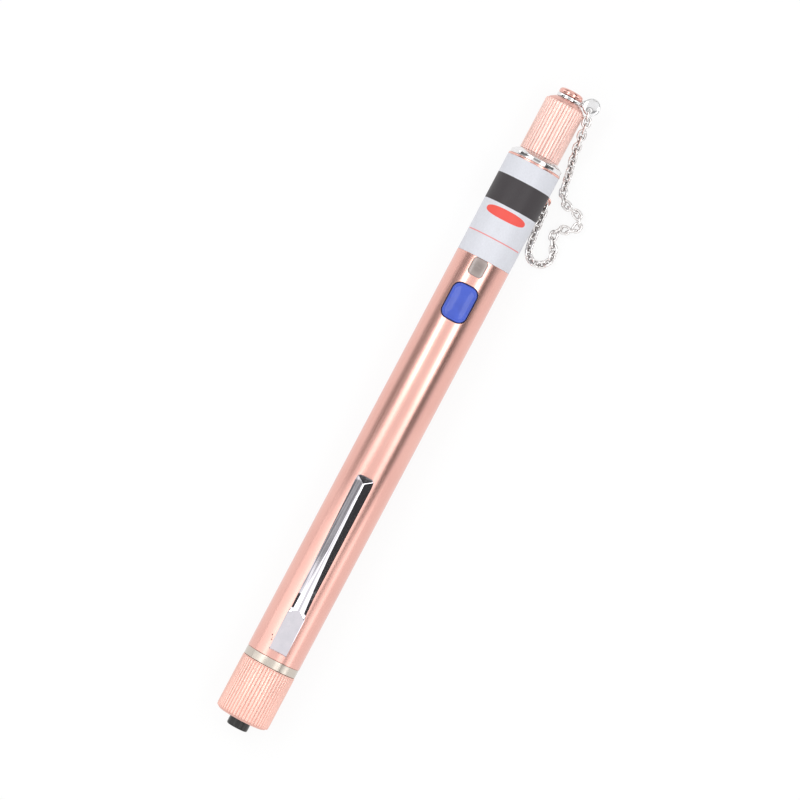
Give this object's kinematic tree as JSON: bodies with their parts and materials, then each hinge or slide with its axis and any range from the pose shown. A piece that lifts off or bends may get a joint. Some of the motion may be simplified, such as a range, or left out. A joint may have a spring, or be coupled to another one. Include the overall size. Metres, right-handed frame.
{
  "type": "visual fault locator",
  "caption": "Pen-type red laser source for tracing breaks in optical fibre, with a capped ferrule port on a chain, side and tail push buttons and a pocket clip.",
  "frame": {"origin": "centre of the ferrule port's mouth, on the pen's axis", "axes": "+X along the pen's axis out of the port, +Z towards the side with the clip and the button"},
  "size_m": [0.1765, 0.0245, 0.0169],
  "materials": {
    "rose_gold": "satin anodised rose gold",
    "chrome": "polished plating",
    "nickel": "warm nickel plating",
    "label_film": "silver white film with fields of colour",
    "smoked_lens": "grey translucent",
    "blue_plastic": "satin moulded",
    "black_plastic": "fine moulded",
    "brass": "turned",
    "ceramic": "ground white ceramic",
    "glass": "polished",
    "board_green": "solder mask",
    "cell_film": "printed wrap",
    "spring_steel": "plain",
    "soft_liner": "matt",
    "white_plastic": "moulded"
  },
  "bodies": {
    "pen": {"barrel_tube": "rose_gold", "label_sleeve": "label_film", "head_collar": "chrome", "indicator_window": "smoked_lens", "indicator_led": "white_plastic", "pocket_clip": "chrome", "chain_anchor": "rose_gold", "safety_chain": "chrome", "adapter_barrel": "nickel", "ferrule_sleeve": "ceramic", "laser_housing": "brass", "laser_diode": "nickel", "focusing_lens": "glass", "lens_retainer": "brass", "circuit_board": "board_green", "mode_switch": "black_plastic", "driver_chip": "black_plastic", "board_cradle": "black_plastic", "front_contact": "nickel", "battery_front": "cell_film", "battery_rear": "cell_film", "tail_ring": "nickel"},
    "side_button": {"side_button": "blue_plastic", "switch_plunger": "white_plastic"},
    "swivel_ring": {"swivel_ring": "chrome"},
    "dust_cap": {"dust_cap": "rose_gold", "cap_liner": "soft_liner", "cap_rivet": "rose_gold"},
    "battery_spring": {"battery_spring": "spring_steel"},
    "tail_cap": {"tail_cap": "rose_gold", "tail_switch": "black_plastic", "switch_retainer": "nickel"},
    "tail_button": {"tail_button": "black_plastic", "tail_switch_plunger": "white_plastic"}
  },
  "joints": [
    {"name": "side_button_press", "type": "slide", "parent": "pen", "child": "side_button", "axis": [0, 0, -1], "range_m": [0, 0.0006], "stiffness_N_per_m": 900, "springref_m": -0.0008},
    {"name": "dust_cap_pull", "type": "slide", "parent": "pen", "child": "swivel_ring", "axis": [1, 0, 0], "range_m": [0, 0.04], "deforming": ["safety_chain"]},
    {"name": "dust_cap_turn", "type": "hinge", "parent": "swivel_ring", "child": "dust_cap", "pos_m": [0, 0, 0], "axis": [1, 0, 0], "continuous": true},
    {"name": "tail_cap_travel", "type": "slide", "parent": "pen", "child": "battery_spring", "axis": [-1, 0, 0], "range_m": [0, 0.0065]},
    {"name": "tail_cap_turn", "type": "hinge", "parent": "battery_spring", "child": "tail_cap", "pos_m": [-0.16, 0, 0], "axis": [-1, 0, 0], "range_deg": [0, 2340]},
    {"name": "tail_button_press", "type": "slide", "parent": "tail_cap", "child": "tail_button", "axis": [1, 0, 0], "range_m": [0, 0.001], "stiffness_N_per_m": 900, "springref_m": -0.0008}
  ],
  "couplings": [
    {"joint": "tail_cap_turn", "follows": "tail_cap_travel", "rad_per_m": 6283.2}
  ]
}
